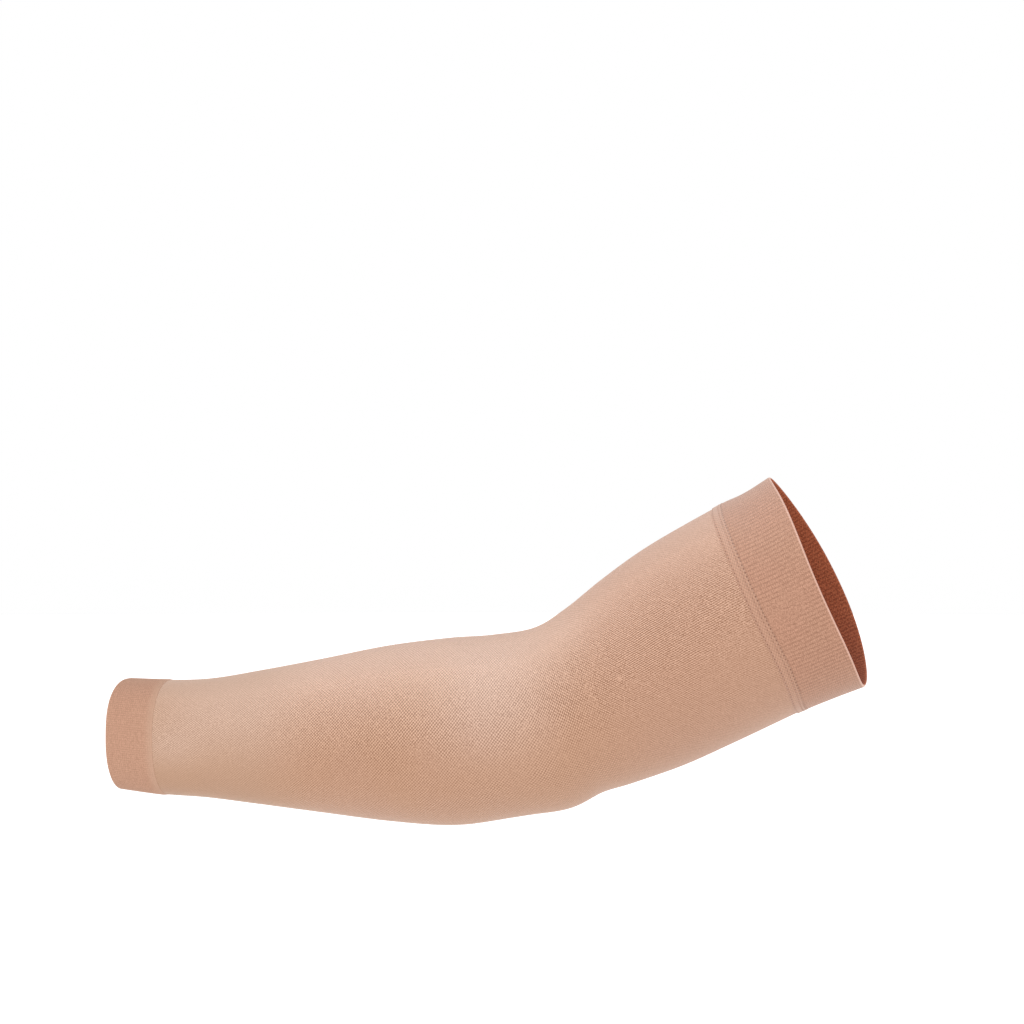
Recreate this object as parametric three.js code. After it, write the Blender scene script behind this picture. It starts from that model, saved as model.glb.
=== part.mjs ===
// Sun protection arm sleeve: a tube of fine stretch knit, shaped as it sits on a gently bent arm,
// with a folded rib cuff at the wrist, a wider one on the upper arm, and a hem seam below that.
// Millimetres, +Z up. The origin is in the middle of the hollow, at the elbow. The wrist lies
// towards -X, the upper arm climbs towards +X, and the arm bends in the XZ plane.
import * as THREE from "three";
import { LoftGeometry } from "three/addons/geometries/LoftGeometry.js";

// Driving dimensions
const KNIT_WALL = 1.0; // one layer of knit, outer face to inner face
const CUFF_WALL = 1.8; // two layers of rib
const CUFF_PROUD = 0.4; // how far a cuff stands out from the tube's outer face
const WRIST_CUFF_WIDTH = 26; // along the arm
const UPPER_CUFF_WIDTH = 29.5;
const SEAM_WIDTH = 6; // the hem seam between the tube and the upper cuff
const SEAM_PROUD = 0.9;
const PIECE_GAP = 0.3; // between pieces that meet

// How finely the curved walls are faceted
const STEPS_AROUND = 36;
const TUBE_STEP = 11; // along the arm
const CUFF_STEPS = 3;
const FOLD_STEPS = 4; // round a cuff's folded edge
const SEAM_STEPS = 4; // over the seam's crown

// Sections of the tube's outer face, from the wrist edge to the upper edge. x and z place the
// middle of the section, lean tips it (degrees), tall is its size in the plane of the bend and
// deep its size across that plane. full is the power of its oval: 2 is an ellipse, more is
// squarer. bow carries the two sides of the section up the arm.
const SECTIONS = [
  { at: "wrist edge", x: -237, z: -13.5, lean: -1.5, tall: 59, deep: 52, full: 2.5, bow: -1.5 },
  { at: "wrist", x: -213, z: -15, lean: 0.5, tall: 61.5, deep: 52.5, full: 2.4, bow: -1 },
  { at: "above the wrist", x: -188.5, z: -15, lean: 0, tall: 64, deep: 55, full: 2.2, bow: -0.5 },
  { at: "lower forearm", x: -160.5, z: -14, lean: 0, tall: 71.5, deep: 61, full: 2.1, bow: 0 },
  { at: "middle forearm", x: -126.5, z: -12.5, lean: 0.5, tall: 81.5, deep: 71, full: 2, bow: 0 },
  { at: "upper forearm", x: -88, z: -10.5, lean: 1, tall: 93, deep: 81, full: 2, bow: 0 },
  { at: "forearm belly", x: -54.5, z: -9, lean: 2, tall: 98.5, deep: 87, full: 2, bow: 0.5 },
  { at: "below the elbow", x: -28.5, z: -6, lean: 5, tall: 96.5, deep: 88, full: 2, bow: 1 },
  { at: "elbow", x: 0, z: 0, lean: 12.5, tall: 94.5, deep: 86, full: 2, bow: 2 },
  { at: "above the elbow", x: 23, z: 10.5, lean: 20, tall: 97, deep: 86.5, full: 2, bow: 3 },
  { at: "lower upper arm", x: 48.5, z: 24.5, lean: 23.5, tall: 105.5, deep: 91, full: 2, bow: 3.5 },
  { at: "biceps", x: 74.5, z: 39.5, lean: 25, tall: 110.5, deep: 96, full: 2, bow: 3.5 },
  { at: "hem", x: 107.5, z: 57, lean: 22.5, tall: 113, deep: 100, full: 2.1, bow: 3 },
  { at: "upper cuff", x: 123, z: 64, lean: 23.5, tall: 113.5, deep: 101.5, full: 2.1, bow: 4.5 },
  { at: "upper edge", x: 138, z: 71.5, lean: 24.5, tall: 116.5, deep: 103, full: 2.1, bow: 5.5 },
];

// Soft swells and hollows where the arm inside pushes the knit out or lets it sink. along is
// measured on the centre line from the wrist edge, turn is degrees down from the top of the
// section on both sides, reach and spread are its half widths (mm, degrees), proud is its height.
const SWELLS = [
  { at: "elbow point", along: 236, turn: 180, reach: 12, spread: 36, proud: 1.5 },
  { at: "behind the elbow point", along: 252, turn: 180, reach: 8, spread: 36, proud: -1.3 },
  { at: "forearm muscle", along: 205, turn: 48, reach: 34, spread: 32, proud: 1.5 },
];

const TAN_KNIT = { color: 0xcda68d, roughness: 0.85, metalness: 0 };
const TAN_RIB = { color: 0xc3937d, roughness: 0.85, metalness: 0 };

const centreLine = curveThrough((row) => [row.x, 0, row.z]);
const sectionSize = curveThrough((row) => [row.tall / 2, row.deep / 2, row.bow]);
const sectionShape = curveThrough((row) => [THREE.MathUtils.degToRad(row.lean), row.full, 0]);
const ARM_LENGTH = centreLine.getLength();

const WRIST_CUFF_END = WRIST_CUFF_WIDTH;
const TUBE_START = WRIST_CUFF_END + PIECE_GAP;
const UPPER_CUFF_START = ARM_LENGTH - UPPER_CUFF_WIDTH;
const SEAM_END = UPPER_CUFF_START - PIECE_GAP;
const SEAM_START = SEAM_END - SEAM_WIDTH;
const TUBE_END = SEAM_START - PIECE_GAP;

// A smooth curve through one triple of numbers from each section.
function curveThrough(pick) {
  const points = SECTIONS.map((row) => new THREE.Vector3(...pick(row)));
  return new THREE.CatmullRomCurve3(points, false, "catmullrom", 0.5);
}

// How far the swells push the knit out at a place on the sleeve.
function swellAt(along, turn) {
  const degrees = Math.abs(THREE.MathUtils.radToDeg(Math.atan2(Math.sin(turn), Math.cos(turn))));
  return SWELLS.reduce((sum, swell) => {
    const lengthwise = (along - swell.along) / swell.reach;
    const sideways = (degrees - swell.turn) / swell.spread;
    return sum + swell.proud * Math.exp(-(lengthwise ** 2) - sideways ** 2);
  }, 0);
}

// A cosine or sine bent from an ellipse's to a squarer oval's.
function ovalPart(part, full) {
  return Math.sign(part) * Math.abs(part) ** (2 / full);
}

// A closed ring of points round the arm, standing out from the tube's outer face.
function ring(along, standOut) {
  const t = centreLine.getUtoTmapping(along / ARM_LENGTH);
  const centre = centreLine.getPoint(t);
  const size = sectionSize.getPoint(t);
  const { x: lean, y: full } = sectionShape.getPoint(t);
  const up = new THREE.Vector3(-Math.sin(lean), 0, Math.cos(lean));
  const upArm = new THREE.Vector3(Math.cos(lean), 0, Math.sin(lean));
  return Array.from({ length: STEPS_AROUND }, (_, step) => {
    const turn = (step / STEPS_AROUND) * 2 * Math.PI;
    const out = standOut + swellAt(along, turn);
    const point = centre.clone().addScaledVector(up, (size.x + out) * ovalPart(Math.cos(turn), full));
    point.y -= (size.y + out) * ovalPart(Math.sin(turn), full);
    return point.addScaledVector(upArm, size.z * Math.sin(turn) ** 2);
  });
}

// A named wall that goes right round the arm, lofted through a closed profile whose points hold
// the place along the arm (x) and how far the wall stands out there (y).
function wall(name, profile, finish) {
  const rings = [...profile, profile[0]].map((point) => ring(point.x, point.y));
  const mesh = new THREE.Mesh(new LoftGeometry(rings), new THREE.MeshStandardMaterial(finish));
  mesh.name = name;
  return mesh;
}

// Points evenly along a straight stretch of a profile, both ends included.
function straight(from, to, standOut, steps) {
  return Array.from(
    { length: steps + 1 },
    (_, step) => new THREE.Vector2(from + ((to - from) * step) / steps, standOut),
  );
}

// Points of a half round from the outer to the inner face, bulging towards the end of the sleeve.
function foldedEdge(edge, towards, outer, thickness) {
  const radius = thickness / 2;
  const half = new THREE.EllipseCurve(0, 0, radius, radius, Math.PI / 2, -Math.PI / 2, true);
  const points = half.getPoints(FOLD_STEPS + 2).slice(1, -1);
  return points.map(
    (point) => new THREE.Vector2(edge + towards * (point.x - radius), outer - radius + point.y),
  );
}

// The main tube, one layer of knit from the wrist cuff to the hem seam.
function armTube() {
  const steps = Math.ceil((TUBE_END - TUBE_START) / TUBE_STEP);
  const profile = [
    ...straight(TUBE_START, TUBE_END, 0, steps),
    ...straight(TUBE_END, TUBE_START, -KNIT_WALL, steps),
  ];
  return wall("arm_tube", profile, TAN_KNIT);
}

// A doubled rib cuff: flat where it joins, folded over at its free edge.
function cuff(name, joined, edge) {
  const towards = Math.sign(edge - joined);
  const inner = CUFF_PROUD - CUFF_WALL;
  const flatEnd = edge - (towards * CUFF_WALL) / 2;
  const profile = [
    ...straight(joined, flatEnd, CUFF_PROUD, CUFF_STEPS),
    ...foldedEdge(edge, towards, CUFF_PROUD, CUFF_WALL),
    ...straight(flatEnd, joined, inner, CUFF_STEPS),
  ];
  return wall(name, towards > 0 ? profile : profile.reverse(), TAN_RIB);
}

// The hem seam: a low crowned band that goes through the whole wall.
function hemSeam() {
  const middle = (SEAM_START + SEAM_END) / 2;
  const crown = new THREE.EllipseCurve(middle, 0, SEAM_WIDTH / 2, SEAM_PROUD, Math.PI, 0, true);
  const profile = [
    ...crown.getPoints(SEAM_STEPS),
    new THREE.Vector2(SEAM_END, -KNIT_WALL),
    new THREE.Vector2(SEAM_START, -KNIT_WALL),
  ];
  return wall("hem_seam", profile, TAN_RIB);
}

const sleeve = new THREE.Group();
sleeve.name = "arm_sleeve";
sleeve.add(
  armTube(),
  cuff("wrist_cuff", WRIST_CUFF_END, 0),
  hemSeam(),
  cuff("upper_cuff", UPPER_CUFF_START, ARM_LENGTH),
);

export default sleeve;
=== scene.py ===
"""A sun protection arm sleeve in fine stretch knit, in the form it takes on a bent arm.

The frame holds the sleeve's solids, and this script gives them their cloth: the tube's mesh knit,
the ribbed cuffs with their folded edges, and the hem seam with its stitches. Sizes on the sleeve
are in millimetres, as on a maker's pattern sheet, and become metres where a point is placed.
"""

import bisect
import functools
import logging
import math
from dataclasses import dataclass
from enum import Enum
from typing import Callable, NamedTuple

import bmesh
import bpy
from mathutils import Matrix, Vector


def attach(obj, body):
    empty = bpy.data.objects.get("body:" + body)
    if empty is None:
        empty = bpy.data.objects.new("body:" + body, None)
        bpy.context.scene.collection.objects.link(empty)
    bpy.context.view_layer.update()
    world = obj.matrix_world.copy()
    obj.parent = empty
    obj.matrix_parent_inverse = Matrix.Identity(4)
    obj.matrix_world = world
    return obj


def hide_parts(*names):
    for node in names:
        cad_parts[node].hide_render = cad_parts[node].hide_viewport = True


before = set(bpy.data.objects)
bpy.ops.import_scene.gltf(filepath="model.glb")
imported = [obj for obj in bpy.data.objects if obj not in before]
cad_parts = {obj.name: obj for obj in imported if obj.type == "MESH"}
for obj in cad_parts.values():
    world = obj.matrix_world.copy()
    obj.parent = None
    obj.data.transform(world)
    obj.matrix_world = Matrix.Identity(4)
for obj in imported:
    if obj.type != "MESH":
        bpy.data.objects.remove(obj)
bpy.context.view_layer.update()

LOG = logging.getLogger("arm_sleeve")
BODY = "root"
MM = 0.001
FULL_TURN = 2 * math.pi

CHART_MAP = "OFBake"  # the cloth laid flat, each face once
WEAVE_MAP = "weave"  # counted in knit cells round the arm and courses along it
CELLS_AROUND = 156  # the needles don't change, so the count is the same from wrist to upper arm
COURSE = 1.66  # along the arm, from one row of the mesh to the row like it
TIGHT_COURSE = 1.5  # the same on the upper arm, where the knit is stretched more round the arm
TIGHT_FROM = 235  # where the courses come closer together
TIGHT_ALL = 300  # where the upper arm's tighter knit is in full
MERGE_NEAR = 1e-6
SHARP_ANGLE = math.radians(70)


def courses_at(along: float) -> float:
    """Count the knit's courses from the wrist edge to a place along the arm."""
    return min(along, TIGHT_FROM) / COURSE + max(along - TIGHT_FROM, 0) / TIGHT_COURSE


def cells_in(degrees: float) -> float:
    """Count the knit's cells in an angle round the arm."""
    return degrees / 360 * CELLS_AROUND


def degrees_down(turn: float) -> float:
    """Give a turn as degrees down from the top of the arm, the same on both sides."""
    return abs(math.degrees(math.atan2(math.sin(turn), math.cos(turn))))


def bell(*offsets: float) -> float:
    """Give the height of a smooth bell, 1 in its middle, at offsets counted in its half widths."""
    return math.exp(-sum(offset**2 for offset in offsets))


class Face(Enum):
    """The parts of a wall's surface. The value is the part's material slot."""

    OUTER = 0
    INNER = 1
    # the outer part of a folded edge, with a painted highlight
    FOLD = 2


class End(Enum):
    """The two open ends of the sleeve. The value is the way out along the arm."""

    WRIST = -1
    UPPER = 1


@dataclass(frozen=True)
class Section:
    """One section of the tube's outer face, in millimetres and degrees."""

    at: str  # where on the arm it lies
    x: float  # place of its middle, towards the upper arm
    z: float  # height of its middle
    lean: float  # how far it tips back
    tall: float  # its size in the plane of the bend
    deep: float  # its size across that plane
    full: float  # the power of its oval: 2 is an ellipse, more is squarer
    bow: float  # how far its two sides are carried up the arm


@dataclass(frozen=True)
class Swell:
    """A soft swell or hollow where the arm inside shapes the knit, or a patch of painted highlight or
    painted shade, the same on both sides.
    """

    at: str  # where on the arm it lies
    along: float  # its place on the centre line, from the wrist edge
    turn: float  # degrees down from the top of the section
    reach: float  # half its width along the arm
    spread: float  # half its width round the arm, in degrees
    proud: float  # its height, or a patch's strength

    def height(self, along: float, degrees: float) -> float:
        """Give its height at a place along the arm and down from the top."""
        return self.proud * bell((along - self.along) / self.reach, (degrees - self.turn) / self.spread)


SECTIONS: tuple[Section, ...] = (
    Section("wrist edge", x=-237, z=-13.5, lean=-1.5, tall=59, deep=52, full=2.5, bow=-1.5),
    Section("wrist", x=-213, z=-15, lean=0.5, tall=61.5, deep=52.5, full=2.4, bow=-1),
    Section("above the wrist", x=-188.5, z=-15, lean=0, tall=64, deep=55, full=2.2, bow=-0.5),
    Section("lower forearm", x=-160.5, z=-14, lean=0, tall=71.5, deep=61, full=2.1, bow=0),
    Section("middle forearm", x=-126.5, z=-12.5, lean=0.5, tall=81.5, deep=71, full=2, bow=0),
    Section("upper forearm", x=-88, z=-10.5, lean=1, tall=93, deep=81, full=2, bow=0),
    Section("forearm belly", x=-54.5, z=-9, lean=2, tall=98.5, deep=87, full=2, bow=0.5),
    Section("below the elbow", x=-28.5, z=-6, lean=5, tall=96.5, deep=88, full=2, bow=1),
    Section("elbow", x=0, z=0, lean=12.5, tall=94.5, deep=86, full=2, bow=2),
    Section("above the elbow", x=23, z=10.5, lean=20, tall=97, deep=86.5, full=2, bow=3),
    Section("lower upper arm", x=48.5, z=24.5, lean=23.5, tall=105.5, deep=91, full=2, bow=3.5),
    Section("biceps", x=74.5, z=39.5, lean=25, tall=110.5, deep=96, full=2, bow=3.5),
    Section("hem", x=107.5, z=57, lean=22.5, tall=113, deep=100, full=2.1, bow=3),
    Section("upper cuff", x=123, z=64, lean=23.5, tall=113.5, deep=101.5, full=2.1, bow=4.5),
    Section("upper edge", x=138, z=71.5, lean=24.5, tall=116.5, deep=103, full=2.1, bow=5.5),
)

SWELLS: tuple[Swell, ...] = (
    Swell("elbow point", along=236, turn=180, reach=12, spread=36, proud=1.5),
    Swell("behind the elbow point", along=252, turn=180, reach=8, spread=36, proud=-1.3),
    Swell("forearm muscle", along=205, turn=48, reach=34, spread=32, proud=1.5),
)

# Painted highlights: soft patches where the knit's colour is paled on the forearm, the elbow and above
# the wrist cuff
PAINTED_HIGHLIGHTS: tuple[Swell, ...] = (
    Swell("beside the wrist cuff", along=34, turn=96, reach=18, spread=22, proud=0.22),
    Swell("above the wrist cuff", along=66, turn=66, reach=46, spread=42, proud=0.38),
    Swell("forearm", along=165, turn=42, reach=75, spread=42, proud=0.23),
    Swell("inside of the elbow", along=216, turn=70, reach=32, spread=40, proud=0.43),
    Swell("above the elbow", along=264, turn=36, reach=26, spread=26, proud=0.2),
)

# Painted shade: soft patches on the sides of the forearm and upper arm, darkened towards the pinholes'
# colour
PAINTED_SHADES: tuple[Swell, ...] = (
    Swell("side of the forearm", along=150, turn=104, reach=50, spread=18, proud=0.07),
    Swell("side of the upper arm", along=332, turn=60, reach=34, spread=24, proud=0.09),
)


class Station(NamedTuple):
    """The section at one place along the arm, in millimetres and radians."""

    x: float
    z: float
    lean: float
    half_tall: float
    half_deep: float
    full: float
    bow: float


class ArmForm:
    """The form the sleeve is stretched over: a smooth run through the sections."""

    DIVISIONS = 200  # of the centre line, to measure its length
    RING_DIVISIONS = 180  # of a ring round the arm, to measure its girth

    def __init__(self, sections: tuple[Section, ...], swells: tuple[Swell, ...]) -> None:
        """Measure the centre line.

        Args:
            sections: From the wrist edge to the upper edge.
            swells: What stands out from the smooth run.
        """
        self.swells = swells
        self.rows = [
            Station(s.x, s.z, math.radians(s.lean), s.tall / 2, s.deep / 2, s.full, s.bow)
            for s in sections
        ]
        middles = [self._between(step / self.DIVISIONS) for step in range(self.DIVISIONS + 1)]
        self.lengths = [0.0]
        for here, there in zip(middles, middles[1:]):
            self.lengths.append(self.lengths[-1] + math.hypot(there.x - here.x, there.z - here.z))
        self.length = self.lengths[-1]
        self.station = functools.cache(self._station)
        self.ring_lengths = functools.cache(self._ring_lengths)

    def _between(self, share: float) -> Station:
        """Run smoothly through the rows.

        Args:
            share: How far through the table, from 0 to 1.

        Returns:
            The blended row there.
        """
        last = len(self.rows) - 1
        place = share * last
        index = min(int(place), last - 1)
        t = place - index
        start, end = self.rows[index], self.rows[index + 1]
        before = self.rows[index - 1] if index > 0 else [2 * a - b for a, b in zip(start, end)]
        after = self.rows[index + 2] if index + 2 <= last else [2 * b - a for a, b in zip(start, end)]
        return Station(*(self._spline(*values, t) for values in zip(before, start, end, after)))

    @staticmethod
    def _spline(before: float, start: float, end: float, after: float, t: float) -> float:
        """Blend one number along a Catmull-Rom stretch.

        Args:
            before: Its value a row earlier.
            start: Its value at the start of the stretch.
            end: Its value at the end of the stretch.
            after: Its value a row later.
            t: How far along the stretch, from 0 to 1.

        Returns:
            The number there.
        """
        leave, arrive = (end - before) / 2, (after - start) / 2
        cubic = 2 * (start - end) + leave + arrive
        square = 3 * (end - start) - 2 * leave - arrive
        return ((cubic * t + square) * t + leave) * t + start

    def _station(self, along: float) -> Station:
        """Find the section at a place on the centre line.

        Args:
            along: Distance from the wrist edge.

        Returns:
            The section there.
        """
        index = min(max(bisect.bisect_right(self.lengths, along) - 1, 0), self.DIVISIONS - 1)
        short, long = self.lengths[index], self.lengths[index + 1]
        return self._between((index + (along - short) / (long - short)) / self.DIVISIONS)

    def swell(self, along: float, turn: float) -> float:
        """Sum how far the swells push the knit out, by distance from the wrist edge and turn."""
        degrees = degrees_down(turn)
        return sum(swell.height(along, degrees) for swell in self.swells)

    def point(self, along: float, turn: float, out: float) -> Vector:
        """Place a point of the sleeve.

        Args:
            along: Distance from the wrist edge.
            turn: Angle from the top, round the near side, in radians.
            out: How far it stands out from the tube's outer face.

        Returns:
            The point in metres.
        """
        s = self.station(along)
        out += self.swell(along, turn)
        cosine, sine = math.cos(turn), math.sin(turn)
        rise = (s.half_tall + out) * math.copysign(abs(cosine) ** (2 / s.full), cosine)
        side = (s.half_deep + out) * math.copysign(abs(sine) ** (2 / s.full), sine)
        bow = s.bow * sine**2
        x = s.x - math.sin(s.lean) * rise + math.cos(s.lean) * bow
        z = s.z + math.cos(s.lean) * rise + math.sin(s.lean) * bow
        return Vector((x, -side, z)) * MM

    def _ring_lengths(self, along: float) -> list[float]:
        """Measure round the tube's outer face from the top, step by step.

        Args:
            along: Distance from the wrist edge.

        Returns:
            The length up to each division of the turn, in metres.
        """
        step = FULL_TURN / self.RING_DIVISIONS
        ring = [self.point(along, step * index, 0) for index in range(self.RING_DIVISIONS + 1)]
        lengths = [0.0]
        for here, there in zip(ring, ring[1:]):
            lengths.append(lengths[-1] + (there - here).length)
        return lengths

    def turn_at(self, along: float, share: float) -> float:
        """Find the turn that lies a given share of the girth from the top.

        Args:
            along: Distance from the wrist edge.
            share: From 0 to 1.

        Returns:
            The turn in radians.
        """
        lengths = self.ring_lengths(along)
        length = share * lengths[-1]
        index = min(bisect.bisect_right(lengths, length) - 1, self.RING_DIVISIONS - 1)
        part = (length - lengths[index]) / (lengths[index + 1] - lengths[index])
        return (index + part) / self.RING_DIVISIONS * FULL_TURN

    def girth(self, along: float) -> float:
        """Give the girth of the tube's outer face, in millimetres."""
        return self.ring_lengths(along)[-1] / MM


class ProfilePoint(NamedTuple):
    """A point of a wall's closed profile: place along the arm, stand-out, and the face after it."""

    along: float
    out: float
    face: Face


Relief = Callable[[float, float, Face], float]
Sway = Callable[[float, float], float]


def straight(start: float, end: float, out: float, steps: int, face: Face) -> list[ProfilePoint]:
    """Lay an even straight stretch of a profile, both ends included."""
    return [ProfilePoint(start + (end - start) * step / steps, out, face) for step in range(steps + 1)]


def arc(
    middle: tuple[float, float], radius: float, angles: tuple[float, float], steps: int, face: Face
) -> list[ProfilePoint]:
    """Lay a round stretch of a profile.

    Args:
        middle: The arc's centre: along the arm and out.
        radius: Its radius.
        angles: First and last angle in degrees, where 0 is up the arm and 90 is out.
        steps: Number of stretches.
        face: The face of the cloth.

    Returns:
        The points, both ends included.
    """
    first, last = angles
    points = []
    for step in range(steps + 1):
        angle = math.radians(first + (last - first) * step / steps)
        along = middle[0] + radius * math.cos(angle)
        points.append(ProfilePoint(along, middle[1] + radius * math.sin(angle), face))
    return points


def to_piece(name: str, bm: bmesh.types.BMesh) -> bpy.types.Object:
    """Make a finished mesh an object of the scene.

    Args:
        name: The object's name.
        bm: The finished mesh, which is freed.

    Returns:
        The object, at the origin.
    """
    mesh = bpy.data.meshes.new(name)
    bm.to_mesh(mesh)
    bm.free()
    piece = bpy.data.objects.new(name, mesh)
    bpy.context.scene.collection.objects.link(piece)
    return piece


@dataclass
class Wall:
    """A wall of cloth that goes right round the arm, rolled from one flat grid."""

    name: str  # the piece's name
    form: ArmForm  # the form it is stretched over
    profile: list[ProfilePoint]  # its closed profile
    steps_around: int  # columns round the arm
    relief: Relief | None  # extra stand-out by cells round the arm, place along it and face
    sway: Sway  # how far it wanders along the arm, by turn and place along it

    GRID_HALF = 0.5  # half the width of the flat grid, so that it is 1 wide

    def build(self) -> bpy.types.Object:
        """Roll the grid into the wall.

        Returns:
            The piece, closed, with its two maps and a material slot for each face of the cloth.
        """
        bm = bmesh.new()
        chart = bm.loops.layers.uv.new(CHART_MAP)
        weave = bm.loops.layers.uv.new(WEAVE_MAP)
        columns, rows, half = self.steps_around, len(self.profile), self.GRID_HALF
        bmesh.ops.create_grid(bm, x_segments=columns, y_segments=rows, size=half, calc_uvs=True)
        for vert in bm.verts:
            vert.co = self._place(round((vert.co.x + half) * columns), round((vert.co.y + half) * rows))
        for face in bm.faces:
            lowest = rows
            for loop in face.loops:
                across, up = loop[chart].uv
                row = round(up * rows)
                lowest = min(lowest, row)
                loop[weave].uv = across * CELLS_AROUND, courses_at(self.profile[row % rows].along)
            face.material_index = self.profile[lowest].face.value
            face.smooth = True
        bmesh.ops.remove_doubles(bm, verts=bm.verts, dist=MERGE_NEAR)
        bmesh.ops.recalc_face_normals(bm, faces=bm.faces)
        piece = to_piece(self.name, bm)
        piece.data.set_sharp_from_angle(angle=SHARP_ANGLE)
        return piece

    def _place(self, column: int, row: int) -> Vector:
        """Find where a corner of the grid goes.

        Args:
            column: Its column round the arm.
            row: Its row round the profile.

        Returns:
            Its place in metres.
        """
        along, out, face = self.profile[row % len(self.profile)]
        share = column % self.steps_around / self.steps_around
        turn = self.form.turn_at(along, share)
        if self.relief:
            out += self.relief(share * CELLS_AROUND, along, face)
        return self.form.point(along + self.sway(turn, along), turn, out)


@dataclass(frozen=True)
class Field:
    """A number or colour that varies from place to place: one result of a node."""

    nodes: "Nodes"  # the nodes it belongs to
    socket: bpy.types.NodeSocket  # the result

    def __add__(self, other: "Number") -> "Field":
        """Add a number."""
        return self.nodes.maths("ADD", self, other)

    __radd__ = __add__

    def __sub__(self, other: "Number") -> "Field":
        """Take a number away."""
        return self.nodes.maths("SUBTRACT", self, other)

    def __rsub__(self, other: float) -> "Field":
        """Take it away from a number."""
        return self.nodes.maths("SUBTRACT", other, self)

    def __mul__(self, other: "Number") -> "Field":
        """Multiply it by a number."""
        return self.nodes.maths("MULTIPLY", self, other)

    def __truediv__(self, other: "Number") -> "Field":
        """Divide it by a number."""
        return self.nodes.maths("DIVIDE", self, other)


Number = Field | float
Colour = tuple[float, float, float, float]
Tint = Field | Colour


class Nodes:
    """Shader nodes, put together step by step."""

    def __init__(self, tree: bpy.types.NodeTree) -> None:
        """Work in a node tree."""
        self.tree = tree

    def node(
        self, kind: str, inputs: dict[str | int, object], output: str | int = 0, **settings: object
    ) -> Field:
        """Add a node.

        Args:
            kind: Its type, without the shader prefix.
            inputs: What goes into each socket: a field to link, or a plain value.
            output: Which of its results is wanted.
            **settings: Its other settings.

        Returns:
            That result.
        """
        node = self.tree.nodes.new("ShaderNode" + kind)
        for setting, value in settings.items():
            setattr(node, setting, value)
        for socket, value in inputs.items():
            self.feed(node.inputs[socket], value)
        return Field(self, node.outputs[output])

    def feed(self, socket: bpy.types.NodeSocket, value: object) -> None:
        """Link a socket to a field, or set its own value.

        Args:
            socket: The socket to feed.
            value: A field, or a plain value.
        """
        if isinstance(value, Field):
            self.tree.links.new(value.socket, socket)
        else:
            socket.default_value = value

    def maths(self, operation: str, a: Number, b: Number = 0.0) -> Field:
        """Work out one or two numbers with a Math node's operation."""
        return self.node("Math", {0: a, 1: b}, operation=operation)

    def blend(self, share: Number, a: Number, b: Number) -> Field:
        """Blend two numbers by a share of the second."""
        return self.node("Mix", {0: share, 2: a, 3: b}, 0, data_type="FLOAT")

    def mix(self, share: Number, a: Tint, b: Tint) -> Field:
        """Mix two colours by a share of the second."""
        return self.node("Mix", {0: share, 6: a, 7: b}, 2, data_type="RGBA")

    def ease(self, value: Number, low: float, high: float) -> Field:
        """Bring a value smoothly from 0 at low to 1 at high."""
        inputs = {"Value": value, "From Min": low, "From Max": high}
        return self.node("MapRange", inputs, "Result", interpolation_type="SMOOTHSTEP")


@dataclass(frozen=True)
class Lustre:
    """How a yarn takes the light."""

    rough: float  # roughness down between the loops
    smooth: float  # how much less rough it is on top of them
    gloss: float  # strength of its own gloss
    sheen: float  # strength of its fuzz at glancing angles
    fuzz: Colour  # colour of that fuzz


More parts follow.
